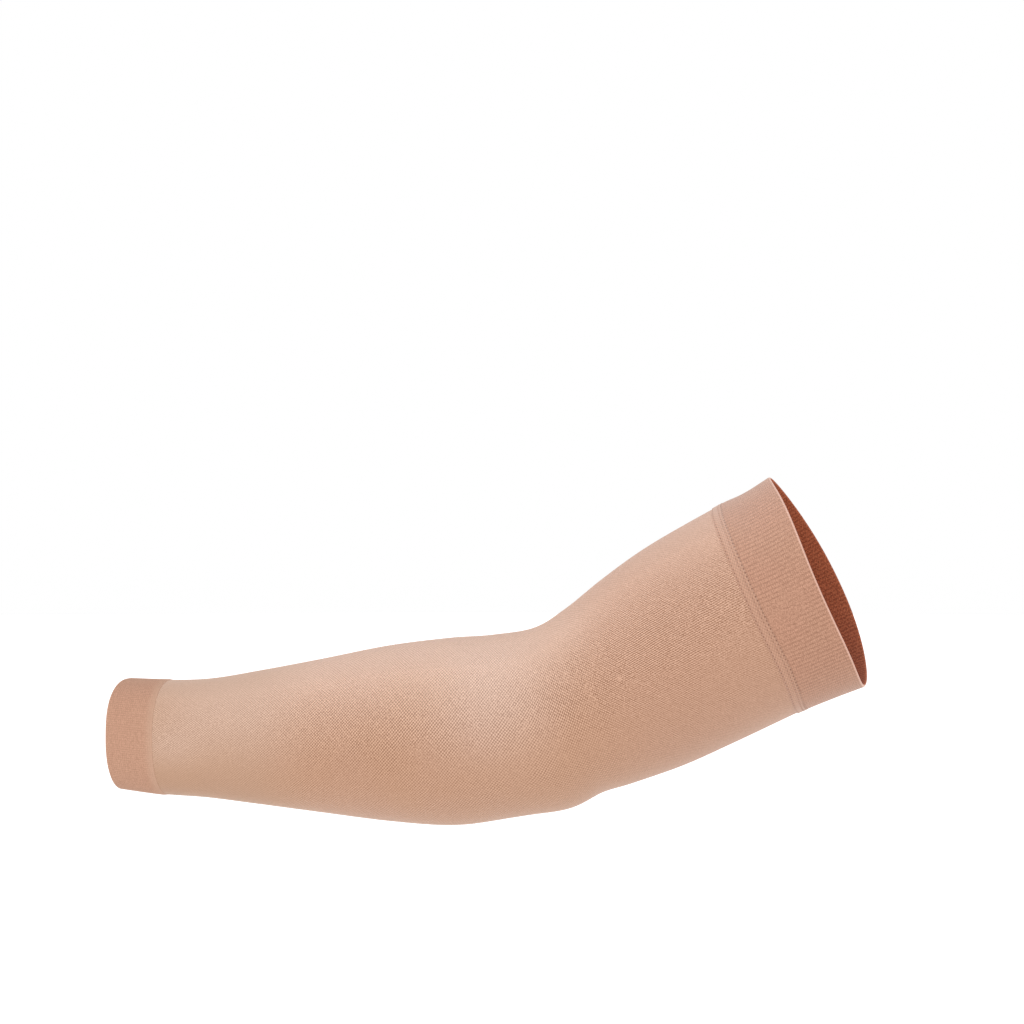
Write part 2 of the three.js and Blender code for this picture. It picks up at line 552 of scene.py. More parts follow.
class Recipe(Nodes):
    """A cloth's material."""

    FIBRE = 2500.0  # fineness of the yarn's single fibres, as of all the noise here in waves to a metre
    NOISE_ROUGHNESS = 0.55
    MIDDLE = 0.5  # the value that noise varies about
    DRIFT_SPAN = (0.4, 0.66)  # of noise, from none of a drift to all of it
    SHEEN_ROUGHNESS = 0.5

    def __init__(self, name: str) -> None:
        """Start a material with its shader."""
        self.material = bpy.data.materials.new(name)
        self.material.use_nodes = True
        super().__init__(self.material.node_tree)
        self.shader = self.tree.nodes["Principled BSDF"]

    def place(self) -> Field:
        """Read the place on the piece, in metres."""
        return self.node("TexCoord", {}, "Object")

    def weave(self, stray: float = 0.0, fineness: float = 0.0) -> tuple[Field, Field]:
        """Read the weave map, with its lines out of true where they stray, as in real knit.

        Args:
            stray: How far they stray, in cells.
            fineness: Fineness of the straying.

        Returns:
            Cells round the arm and courses along it.
        """
        mapped = self.node("UVMap", {}, uv_map=WEAVE_MAP)
        if stray:
            noise = {"Vector": self.place(), "Scale": fineness, "Detail": 1.0}
            offset = self.node("TexNoise", noise, "Color")
            offset = self.node("VectorMath", {0: offset, 1: (self.MIDDLE,) * 3}, operation="SUBTRACT")
            offset = self.node("VectorMath", {0: offset, "Scale": stray}, operation="SCALE")
            mapped = self.node("VectorMath", {0: mapped, 1: offset}, operation="ADD")
        return self.node("SeparateXYZ", {0: mapped}, "X"), self.node("SeparateXYZ", {0: mapped}, "Y")

    def wave(self, count: Number) -> Field:
        """Turn a count into a wave that is 1 at each whole number and -1 between."""
        return self.maths("COSINE", count * FULL_TURN)

    def bell(self, *offsets: Field) -> Field:
        """Give the height of a smooth bell, 1 in its middle, at offsets counted in its half widths."""
        return self.maths("EXPONENT", sum(offset * offset for offset in offsets) * -1.0)

    def noise(self, fineness: float, octaves: float) -> Field:
        """Add soft noise about the middle value."""
        inputs = {"Scale": fineness, "Detail": octaves, "Roughness": self.NOISE_ROUGHNESS}
        return self.node("TexNoise", {"Vector": self.place(), **inputs})

    def fibre(self) -> Field:
        """Give the fine grain of the yarn's fibres."""
        return self.noise(self.FIBRE, 2.0)

    def speck(self, fineness: float) -> Field:
        """Give fine specks about 0."""
        return self.noise(fineness, 0.0) - self.MIDDLE

    def drift(self, fineness: float) -> Field:
        """Give broad soft patches, from 0 to 1."""
        return self.ease(self.noise(fineness, 1.0), *self.DRIFT_SPAN)

    def bump(self, height: Field, depth: float, strength: float) -> None:
        """Raise the surface by a height.

        Args:
            height: From 0 to 1.
            depth: What a height of 1 stands for, in metres.
            strength: How much of it is shown.
        """
        inputs = {"Height": height, "Distance": depth, "Strength": strength}
        self.feed(self.shader.inputs["Normal"], self.node("Bump", inputs))

    def fill(self, values: dict[str, object]) -> None:
        """Feed the shader's sockets by name."""
        for socket, value in values.items():
            self.feed(self.shader.inputs[socket], value)

    def cover(self, lustre: Lustre, colour: Field, height: Field) -> bpy.types.Material:
        """Give the shader a colour and the soft gloss of yarn.

        Args:
            lustre: How the yarn takes the light.
            colour: The colour of the cloth.
            height: How far up on the loops a place is, from 0 to 1.

        Returns:
            The finished material.
        """
        rough = lustre.rough - height * lustre.smooth
        self.fill({"Base Color": colour, "Roughness": rough, "Specular IOR Level": lustre.gloss})
        spread = self.SHEEN_ROUGHNESS
        self.fill({"Sheen Weight": lustre.sheen, "Sheen Roughness": spread, "Sheen Tint": lustre.fuzz})
        return self.material


SPECK = 1600.0  # fineness of the specks on the face of the cloth
FUZZ: Colour = (1.0, 0.98, 0.96, 1.0)
WARM_FUZZ: Colour = (1.0, 0.97, 0.94, 1.0)
RED_FUZZ: Colour = (1.0, 0.8, 0.7, 1.0)
RIB_LUSTRE = Lustre(rough=0.9, smooth=0.2, gloss=0.3, sheen=0.25, fuzz=WARM_FUZZ)
BACK_LUSTRE = Lustre(rough=0.95, smooth=0.1, gloss=0.1, sheen=0.0, fuzz=RED_FUZZ)


@dataclass(frozen=True)
class MeshKnit:
    """The tube's finish: raised yarn in a staggered lattice, with a pinhole in each cell darkened as
    painted shade, and soft patches of painted highlight and painted shade.
    """

    name: str  # the material's name
    yarn: Colour  # colour of the raised yarn
    pinhole: Colour  # colour down in the pinholes, a painted shade in the openings
    blush: Colour  # a pinker colour that the yarn drifts to here and there
    pale: Colour  # the paler colour of the tight knit just above the wrist cuff
    highlight_yarn: Colour  # the paler yarn colour of the painted highlights
    highlight_hole: Colour  # the paler pinhole colour of the painted highlights
    depth: float  # depth of the pinholes, in metres
    lustre: Lustre  # how the yarn takes the light

    STRAY = 0.65  # how far the knit's lines stray, in cells
    STRAY_FINENESS = 90.0
    RISING, FALLING = 0.57, 0.43  # shares of the two slants on the forearm
    WALES, SLANT = 0.75, 0.34  # shares of the wales and of a slant on the upper arm
    WALES_PER_CELL = 2.0
    CALM_ALL = 345  # where along the upper arm the lattice is calmest
    CALM = 0.6  # what is left of it there
    LOOP_FINENESS, CLOTH_FINENESS = 450.0, 60.0  # of unevenness from loop to loop and over the cloth
    UNEVEN, EVEN = 1.8, -0.7  # how the unevenness is weighed, and what is added to it
    SPECKS = 1.8  # how far specks break up the lattice
    SPAN = 1.2  # of the lattice, from its middle to a pinhole or to the top of the yarn
    FIBRES = 0.15  # share of the fibres in the relief
    OPEN_TURN, OPEN_SPREAD = 78, 23  # where down the arm's sides the mesh opens, and half its width
    OPEN_MORE, OPEN_LEAST = 0.9, 0.48  # how much more the lattice shows there, and how much elsewhere
    DRIFT_FINENESS = 22.0
    DRIFT_BLUSH, UPPER_BLUSH = 0.4, 0.8  # share of the pinker colour in its drifts and on the upper arm
    CLOSED_FROM, CLOSED_ALL = 72.0, 42.0  # courses between which the mesh closes towards the wrist
    CLOSED = 0.5  # how far it closes there
    CLOSED_ROUGH = 2.0  # how much rougher it is there, counted in the height of a loop
    RELIEF = 0.5

    def material(self) -> bpy.types.Material:
        """Make the finish.

        Returns:
            The material.
        """
        recipe = Recipe(self.name)
        cells, courses = recipe.weave()
        knit = self._lattice(recipe) + recipe.speck(SPECK) * self.SPECKS
        raised = recipe.ease(knit * self._opened(recipe, cells), -self.SPAN, self.SPAN)
        height = raised * (1 - self.FIBRES) + recipe.fibre() * self.FIBRES
        drift = recipe.drift(self.DRIFT_FINENESS) * self.DRIFT_BLUSH
        upper = self._upper(recipe, courses) * self.UPPER_BLUSH
        yarn = recipe.mix(recipe.maths("MAXIMUM", drift, upper), self.yarn, self.blush)
        closed = recipe.ease(courses, self.CLOSED_FROM, self.CLOSED_ALL) * self.CLOSED
        colour = recipe.mix(closed, recipe.mix(raised, self.pinhole, yarn), self.pale)
        # painted highlights: the lattice in paler colours where the patches lie
        highlit = recipe.mix(raised, self.highlight_hole, self.highlight_yarn)
        colour = recipe.mix(self._patches(recipe, PAINTED_HIGHLIGHTS), colour, highlit)
        # painted shade: patches mixed towards the pinhole colour
        colour = recipe.mix(self._patches(recipe, PAINTED_SHADES), colour, self.pinhole)
        recipe.bump(height * (1.0 - closed), self.depth, self.RELIEF)
        return recipe.cover(self.lustre, colour, height - closed * self.CLOSED_ROUGH)

    @staticmethod
    def _upper(recipe: Recipe, courses: Field) -> Field:
        """Bring in the upper arm's tighter knit, from 0 to 1."""
        return recipe.ease(courses, courses_at(TIGHT_FROM), courses_at(TIGHT_ALL))

    def _lattice(self, recipe: Recipe) -> Field:
        """Lay the yarn: two crossing slants on the forearm, fine wales and a slant on the upper arm.

        Args:
            recipe: The material's nodes.

        Returns:
            How raised the yarn is, from about -1 to 1.
        """
        cells, courses = recipe.weave(self.STRAY, self.STRAY_FINENESS)
        rising = recipe.wave(cells + courses)
        falling = recipe.wave(cells - courses)
        wales = recipe.wave(cells * self.WALES_PER_CELL)
        forearm = rising * self.RISING + falling * self.FALLING
        upper = wales * self.WALES + falling * self.SLANT
        lattice = recipe.blend(self._upper(recipe, courses), forearm, upper)
        calm = recipe.ease(courses, courses_at(TIGHT_ALL), courses_at(self.CALM_ALL))
        lattice = lattice * recipe.blend(calm, 1.0, self.CALM)
        uneven = recipe.noise(self.LOOP_FINENESS, 0.0) + recipe.noise(self.CLOTH_FINENESS, 1.0)
        return lattice * (uneven * self.UNEVEN + self.EVEN)

    def _opened(self, recipe: Recipe, cells: Field) -> Field:
        """Open the mesh more along the two sides of the arm, where it is pulled most.

        Args:
            recipe: The material's nodes.
            cells: Cells round the arm.

        Returns:
            How strongly the yarn and its pinholes show.
        """
        down = recipe.maths("PINGPONG", cells, CELLS_AROUND / 2)
        sideways = (down - cells_in(self.OPEN_TURN)) / cells_in(self.OPEN_SPREAD)
        return recipe.bell(sideways) * self.OPEN_MORE + self.OPEN_LEAST

    @staticmethod
    def _patches(recipe: Recipe, patches: tuple[Swell, ...]) -> Field:
        """Lay soft patches on the knit, the same on both sides of the arm.

        Args:
            recipe: The material's nodes.
            patches: The patches.

        Returns:
            How strong they are together, from 0 to 1.
        """
        cells, courses = recipe.weave()
        down = recipe.maths("PINGPONG", cells, CELLS_AROUND / 2)
        strengths = []
        for patch in patches:
            lengthwise = (courses - courses_at(patch.along)) / (patch.reach / COURSE)
            sideways = (down - cells_in(patch.turn)) / cells_in(patch.spread)
            strengths.append(recipe.bell(lengthwise, sideways) * patch.proud)
        return sum(strengths)


@dataclass(frozen=True)
class RibKnit:
    """The cuffs' finish: rib ridges with grooves darkened by painted shade, and small stitches along each
    ridge.
    """

    name: str  # the material's name
    ridge: Colour  # colour on the ridges
    groove: Colour  # colour in the grooves, darkened as painted shade
    blush: Colour  # a pinker colour that the yarn drifts to here and there
    depth: float  # depth of the small stitches, in metres
    lustre: Lustre = RIB_LUSTRE  # how the yarn takes the light
    faded: tuple[Colour, float] | None = None  # a paler colour where it is joined, and its share
    fade: tuple[float, float] = (0.0, 0.0)  # where along the arm the fading begins and ends

    STITCHES = 1.5  # small stitches to a course
    STITCH_RELIEF, FIBRE_RELIEF = 0.3, 0.4  # shares of the stitches and the fibres in the relief
    RIDGE_SPAN = (-1.0, 0.2)  # of the wave round the arm, from a groove to the top of a ridge
    STITCH_SPAN = (-2.0, 1.0)  # of the wave along the arm, which breaks a ridge into stitches
    SHOWN_FINENESS = 45.0
    SHOWN_SPAN = (0.12, 0.62)  # of noise, from ribs that hardly show to ribs in full
    WORN = 0.55  # how raised the cloth looks where they hardly show
    SPECKS = 2.4  # how far specks break up the ribs
    SPECK_SPAN = (-0.4, 1.4)
    DRIFT_FINENESS = 30.0
    BLUSH = 0.6  # share of the pinker colour in its drifts
    RELIEF = 0.6

    def material(self) -> bpy.types.Material:
        """Make the finish.

        Returns:
            The material.
        """
        recipe = Recipe(self.name)
        cells, courses = recipe.weave()
        stitch = recipe.wave(courses * self.STITCHES)
        fibre = recipe.fibre()
        ridge = recipe.ease(recipe.wave(cells), *self.RIDGE_SPAN) * recipe.ease(stitch, *self.STITCH_SPAN)
        shown = recipe.ease(recipe.noise(self.SHOWN_FINENESS, 2.0), *self.SHOWN_SPAN)
        ridge = recipe.blend(shown, self.WORN, ridge) + recipe.speck(SPECK) * self.SPECKS
        yarn = recipe.mix(recipe.drift(self.DRIFT_FINENESS) * self.BLUSH, self.ridge, self.blush)
        colour = recipe.mix(recipe.ease(ridge, *self.SPECK_SPAN), self.groove, yarn)
        if self.faded:
            pale, most = self.faded
            start, end = (courses_at(along) for along in self.fade)
            colour = recipe.mix(recipe.ease(courses, start, end) * most, colour, pale)
        recipe.bump(stitch * self.STITCH_RELIEF + fibre * self.FIBRE_RELIEF, self.depth, self.RELIEF)
        return recipe.cover(self.lustre, colour, fibre)


@dataclass(frozen=True)
class SeamKnit:
    """The hem's finish: turned cloth with a needle hole at each stitch, darkened as painted shade."""

    name: str  # the material's name
    cloth: Colour  # colour of the turned cloth
    hole: Colour  # colour down in the needle holes, darkened as painted shade
    lustre: Lustre  # how the yarn takes the light
    hole_reach: float = 0.672  # how far a needle hole's shade reaches along the arm
    depth: float = 0.0001  # depth of the cloth's own knit, in metres

    HOLE_SPAN = (0.0, -0.9)  # of the wave round the arm, from beside a needle hole to its middle
    HOLE_FINENESS = 260.0
    UNEVEN_SPAN = (0.0, 0.55)  # of noise, from a hole that has closed to one in full
    SPECKS = 1.8  # how far specks break up the knit
    SPAN = 1.2  # of the knit, from its middle to the top or the bottom of a loop
    SHADED = 0.42  # how dark it is between the loops, as a share of a needle hole
    RELIEF = 0.6

    def material(self, rows: list[tuple[float, float]]) -> bpy.types.Material:
        """Make the finish.

        Args:
            rows: Where the rows of stitches lie along the arm, and how dark each is.

        Returns:
            The material.
        """
        recipe = Recipe(self.name)
        cells, courses = recipe.weave()
        near = 0.0
        for row, darkness in rows:
            apart = recipe.maths("ABSOLUTE", courses - courses_at(row))
            close = recipe.ease(apart, self.hole_reach / TIGHT_COURSE, 0.0)
            near = recipe.maths("MAXIMUM", near, close * darkness)
        uneven = recipe.ease(recipe.noise(self.HOLE_FINENESS, 1.0), *self.UNEVEN_SPAN)
        hole = recipe.ease(recipe.wave(cells), *self.HOLE_SPAN) * near * uneven
        lattice = recipe.wave(cells) * recipe.wave(courses) + recipe.speck(SPECK) * self.SPECKS
        between = recipe.ease(lattice, self.SPAN, -self.SPAN) * self.SHADED
        colour = recipe.mix(recipe.maths("MAXIMUM", between, hole), self.cloth, self.hole)
        fibre = recipe.fibre()
        recipe.bump(fibre, self.depth, self.RELIEF)
        return recipe.cover(self.lustre, colour, fibre)


@dataclass(frozen=True)
class InnerFace:
    """The inside of the cloth: the same yarn's duller back, in ribs or a mesh, coloured darker and redder
    as painted shade inside the sleeve.
    """

    name: str  # the material's name
    yarn: Colour  # its colour, darkened and reddened as painted shade inside the sleeve
    shade: Colour  # its colour between the loops
    depth: float  # depth between the loops, in metres
    mesh: float  # how far the courses break up the ribs, from 0 to 1
    lustre: Lustre = BACK_LUSTRE  # how the yarn takes the light

    STRAY = 0.7  # how far the knit's lines stray, in cells
    STRAY_FINENESS = 120.0
    SPECK_FINENESS = 1200.0
    SPECKS = 3.6  # how far specks break up the knit
    SPAN = 1.3  # of the knit, from its middle to the top or the bottom of a loop
    FIBRES = 0.25  # share of the fibres in the relief
    RELIEF = 0.6

    def material(self) -> bpy.types.Material:
        """Make the finish.

        Returns:
            The material.
        """
        recipe = Recipe(self.name)
        cells, courses = recipe.weave(self.STRAY, self.STRAY_FINENESS)
        lattice = recipe.wave(cells) * recipe.blend(self.mesh, 1.0, recipe.wave(courses))
        lattice = lattice + recipe.speck(self.SPECK_FINENESS) * self.SPECKS
        raised = recipe.ease(lattice, -self.SPAN, self.SPAN)
        height = raised * (1 - self.FIBRES) + recipe.fibre() * self.FIBRES
        recipe.bump(height, self.depth, self.RELIEF)
        return recipe.cover(self.lustre, recipe.mix(height, self.shade, self.yarn), height)


@dataclass(frozen=True)
class StitchThread:
    """The hem's sewing thread: a smooth twisted yarn."""

    name: str  # the material's name
    thread: Colour  # its colour
    shade: Colour  # its colour between the twists
    lustre: Lustre  # how it takes the light

    def material(self) -> bpy.types.Material:
        """Make the finish.

        Returns:
            The material.
        """
        recipe = Recipe(self.name)
        twist = recipe.noise(recipe.FIBRE, 1.0)
        return recipe.cover(self.lustre, recipe.mix(twist, self.shade, self.thread), twist)


MESH_KNIT = MeshKnit(
    "mesh_knit",
    yarn=(0.79, 0.466, 0.302, 1),
    pinhole=(0.33, 0.15, 0.08, 1),
    blush=(0.79, 0.474, 0.335, 1),
    pale=(0.535, 0.33, 0.213, 1),
    highlight_yarn=(0.95, 0.70, 0.58, 1),
    highlight_hole=(0.57, 0.38, 0.30, 1),
    depth=0.0003,
    lustre=Lustre(rough=0.7, smooth=0.15, gloss=0.3, sheen=0.13, fuzz=FUZZ),
)
RIB_KNIT = RibKnit(
    "rib_knit",
    ridge=(0.64, 0.347, 0.231, 1),
    groove=(0.425, 0.21, 0.133, 1),
    blush=(0.65, 0.335, 0.225, 1),
    depth=0.0002,
)
WRIST_RIB = RibKnit(
    "wrist_rib",
    ridge=(0.67, 0.388, 0.268, 1),
    groove=(0.51, 0.28, 0.19, 1),
    blush=(0.68, 0.378, 0.262, 1),
    depth=0.0002,
    lustre=Lustre(rough=0.9, smooth=0.2, gloss=0.05, sheen=0.03, fuzz=WARM_FUZZ),
    faded=((0.66, 0.42, 0.30, 1), 0.65),
    fade=(20.5, 26.0),
)
# Painted highlight: the outer part of each cuff's folded open edge, coloured much paler than the rib
FOLD_HIGHLIGHT_RIB = RibKnit(
    "fold_highlight_rib",
    ridge=(0.87, 0.53, 0.41, 1),
    groove=(0.79, 0.46, 0.35, 1),
    blush=(0.88, 0.52, 0.40, 1),
    depth=0.0001,
)
SEAM_KNIT = SeamKnit(
    "seam_knit",
    cloth=(0.65, 0.362, 0.243, 1),
    hole=(0.20, 0.075, 0.038, 1),
    lustre=Lustre(rough=0.85, smooth=0.2, gloss=0.35, sheen=0.3, fuzz=FUZZ),
)
# Painted shade: the seam's inside, coloured dark red like the inside of the cloth
SEAM_INSIDE = SeamKnit(
    "seam_inside",
    cloth=(0.58, 0.18, 0.084, 1),
    hole=(0.12, 0.028, 0.012, 1),
    lustre=Lustre(rough=0.85, smooth=0.2, gloss=0.35, sheen=0.0, fuzz=FUZZ),
)
# Painted shade: the inside of the cloth, coloured darker and redder than its outside
INNER_FACE = InnerFace(
    "inner_face",
    yarn=(0.6, 0.18, 0.082, 1),
    shade=(0.24, 0.056, 0.025, 1),
    depth=0.0002,
    mesh=1.0,
)
INNER_RIB = InnerFace(
    "inner_rib",
    yarn=(0.60, 0.178, 0.084, 1),
    shade=(0.29, 0.072, 0.034, 1),
    depth=0.0003,
    mesh=0.45,
)
STITCH_THREAD = StitchThread(
    "stitch_thread",
    thread=(0.62, 0.38, 0.27, 1),
    shade=(0.5, 0.28, 0.19, 1),
    lustre=Lustre(rough=0.8, smooth=0.2, gloss=0.5, sheen=0.3, fuzz=WARM_FUZZ),
)


def dress(piece: bpy.types.Object, *finishes: bpy.types.Material) -> None:
    """Give a piece its materials, one for each slot in order."""
    for finish in finishes:
        piece.data.materials.append(finish)


def carry(piece: bpy.types.Object, slot: str, *nodes: str) -> None:
    """Put a piece on the sleeve's body in place of its plain solids.

    Args:
        piece: The piece.
        slot: The record's material slot. Not used.
        *nodes: The solids it stands for.
    """
    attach(piece, BODY)
    if nodes:
        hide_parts(*nodes)
    LOG.info("%s: %d faces", piece.name, len(piece.data.polygons))


@dataclass
class Layout:
    """Where the pieces meet along the arm, in millimetres from the wrist edge."""

    form: ArmForm  # the form under the sleeve
    wrist_cuff_width: float = 26  # width of the wrist cuff
    upper_cuff_width: float = 29.5  # width of the upper cuff
    seam_width: float = 6  # width of the hem seam
    gap: float = 0.3  # between neighbouring solids
    snug: float = 0.03  # what is left of that gap where the cloth closes up
    hem_drift: float = 2.6  # how far the hem strays up the arm where it strays most
    drift_turn: float = 130  # where round the arm that is, in degrees down from the top on both sides
    drift_spread: float = 32  # half its width round the arm, in degrees
    drift_reach: float = 14  # how far along the arm the cloth beside the hem strays with it

    @property
    def tube_start(self) -> float:
        """Where the tube meets the wrist cuff."""
        return self.wrist_cuff_width + self.snug

    @property
    def seam_end(self) -> float:
        """Where the seam meets the upper cuff."""
        return self.form.length - self.upper_cuff_width - self.gap

    @property
    def seam_start(self) -> float:
        """Where the seam meets the tube."""
        return self.seam_end - self.seam_width

    @property
    def tube_end(self) -> float:
        """Where the tube meets the seam."""
        return self.seam_start - self.snug

    @property
    def upper_cuff_start(self) -> float:
        """Where the upper cuff meets the seam."""
        return self.seam_end + self.snug

    def drift(self, turn: float, along: float) -> float:
        """Let the hem and the cloth beside it stray along the arm.

        Args:
            turn: Angle from the top, in radians.
            along: Distance from the wrist edge.

        Returns:
            How far the cloth strays up the arm there.
        """
        sideways = (degrees_down(turn) - self.drift_turn) / self.drift_spread
        lengthwise = max(self.seam_start - along, along - self.seam_end, 0.0) / self.drift_reach
        return self.hem_drift * bell(sideways, lengthwise)


@dataclass
class KnitTube:
    """The main tube, one layer of mesh knit from the wrist cuff to the hem seam."""

    layout: Layout  # where the pieces meet
    wall: float = 1.0  # thickness of the knit
    outer_step: float = 2.0  # row spacing on the outer face
    inner_step: float = 5.0  # row spacing on the inner face

    def build(self) -> bpy.types.Object:
        """Make the tube.

        Returns:
            The dressed piece.
        """
        start, end = self.layout.tube_start, self.layout.tube_end
        outer = straight(start, end, 0, round((end - start) / self.outer_step), Face.OUTER)
        inner = straight(end, start, -self.wall, round((end - start) / self.inner_step), Face.INNER)
        form, drift = self.layout.form, self.layout.drift
        piece = Wall("arm_tube_knit", form, outer + inner, CELLS_AROUND, None, drift).build()
        dress(piece, MESH_KNIT.material(), INNER_FACE.material())
        return piece


@dataclass
class RibCuff:
    """A doubled rib cuff, flat where it joins and folded over at its open edge."""

    layout: Layout  # where the pieces meet
    end: End  # which end of the sleeve it closes
    wall: float = 1.8  # thickness of its two layers
    proud: float = 0.4  # how far it stands out from the tube
    rib_share: float = 0.04  # height of a rib as a share of its width
    rib_level: float = 0.6  # where the cuff's own face lies, as a share of a rib's height
    steps_per_rib: int = 6  # columns across a rib
    rows: int = 8  # rows along each face
    fold_steps: int = 4  # rows round each part of the folded edge
    fold_highlight_from: float = 55  # angle from the open end at which the fold's painted highlight begins, in degrees
    blend: float = 2.5  # length over which it eases down to its neighbour
    blend_steps: int = 5  # rows over that length
    joined_proud: float = 0.05  # how far it stands out where it is joined
    wave: float = 0.0  # how far its open edge wanders along the arm
    ripple: float = 0.0  # how far a shorter wave adds to that on the near side

    @property
    def edge(self) -> float:
        """Where its open edge lies along the arm."""
        return 0.0 if self.end is End.WRIST else self.layout.form.length

    @property
    def joined(self) -> float:
        """Where it is joined to its neighbour."""
        return self.layout.wrist_cuff_width if self.end is End.WRIST else self.layout.upper_cuff_start

    @property
    def rib_height(self) -> float:
        """Height of a rib, from the ribs' width half way along the cuff."""
        return self.rib_share * self.layout.form.girth((self.edge + self.joined) / 2) / CELLS_AROUND

    def build(self) -> bpy.types.Object:
        """Make the cuff.

        Returns:
            The dressed piece.
        """
        name = f"{self.end.name.lower()}_cuff_rib"
        steps = CELLS_AROUND * self.steps_per_rib
        piece = Wall(name, self.layout.form, self._profile(), steps, self._ribs, self._wander).build()
        rib = WRIST_RIB if self.end is End.WRIST else RIB_KNIT
        dress(piece, rib.material(), INNER_RIB.material(), FOLD_HIGHLIGHT_RIB.material())
        return piece

    def _profile(self) -> list[ProfilePoint]:
        """Lay the profile: along the outside, round the fold and back along the inside.

        Returns:
            The closed profile.
        """
        way = self.end.value
        radius = self.wall / 2
        near = self.joined + way * self.blend
        far = self.edge - way * radius
        middle = (far, self.proud - radius)
        outwards = 0 if self.end is End.UPPER else 180
        highlight_from = abs(outwards - self.fold_highlight_from)
        slope = straight(self.joined, near, 0, self.blend_steps, Face.OUTER)
        profile = [point._replace(out=self._slope((point.along - self.joined) * way)) for point in slope]
        profile += straight(near, far, self.proud, self.rows, Face.OUTER)[1:-1]
        profile += arc(middle, radius, (90, highlight_from), self.fold_steps, Face.OUTER)[:-1]
        # the fold's outer part, which carries the painted highlight
        profile += arc(middle, radius, (highlight_from, outwards), self.fold_steps, Face.FOLD)[:-1]
        profile += arc(middle, radius, (outwards, 2 * outwards - 90), self.fold_steps, Face.INNER)
        profile += straight(far, self.joined, self.proud - self.wall, self.rows, Face.INNER)[1:]
        return profile

    def _slope(self, inwards: float) -> float:
        """Ease the cuff's outer face down to its neighbour.

        Args:
            inwards: Distance from the joint.

        Returns:
            How far the cuff stands out there.
        """
        share = min(inwards / self.blend, 1.0)
        share = share * share * (3 - 2 * share)
        return self.joined_proud + (self.proud - self.joined_proud) * share

    def _ribs(self, cells: float, along: float, face: Face) -> float:
        """Raise rounded ribs with narrow grooves between."""
        return self.rib_height * (abs(math.cos(math.pi * cells)) - self.rib_level)

    def _wander(self, turn: float, along: float) -> float:
        """Let the soft open edge wander along the arm, more the further it is from the joint.

        Args:
            turn: Angle from the top, in radians.
            along: Distance from the wrist edge.

        Returns:
            How far the cloth wanders up the arm there.
        """
        free = self.wave * math.sin(2 * turn)
        free += self.ripple * max(math.sin(turn), 0.0) * math.sin(3 * turn)
        share = (along - self.joined) / (self.edge - self.joined)
        return free * share**2 + self.layout.drift(turn, along)


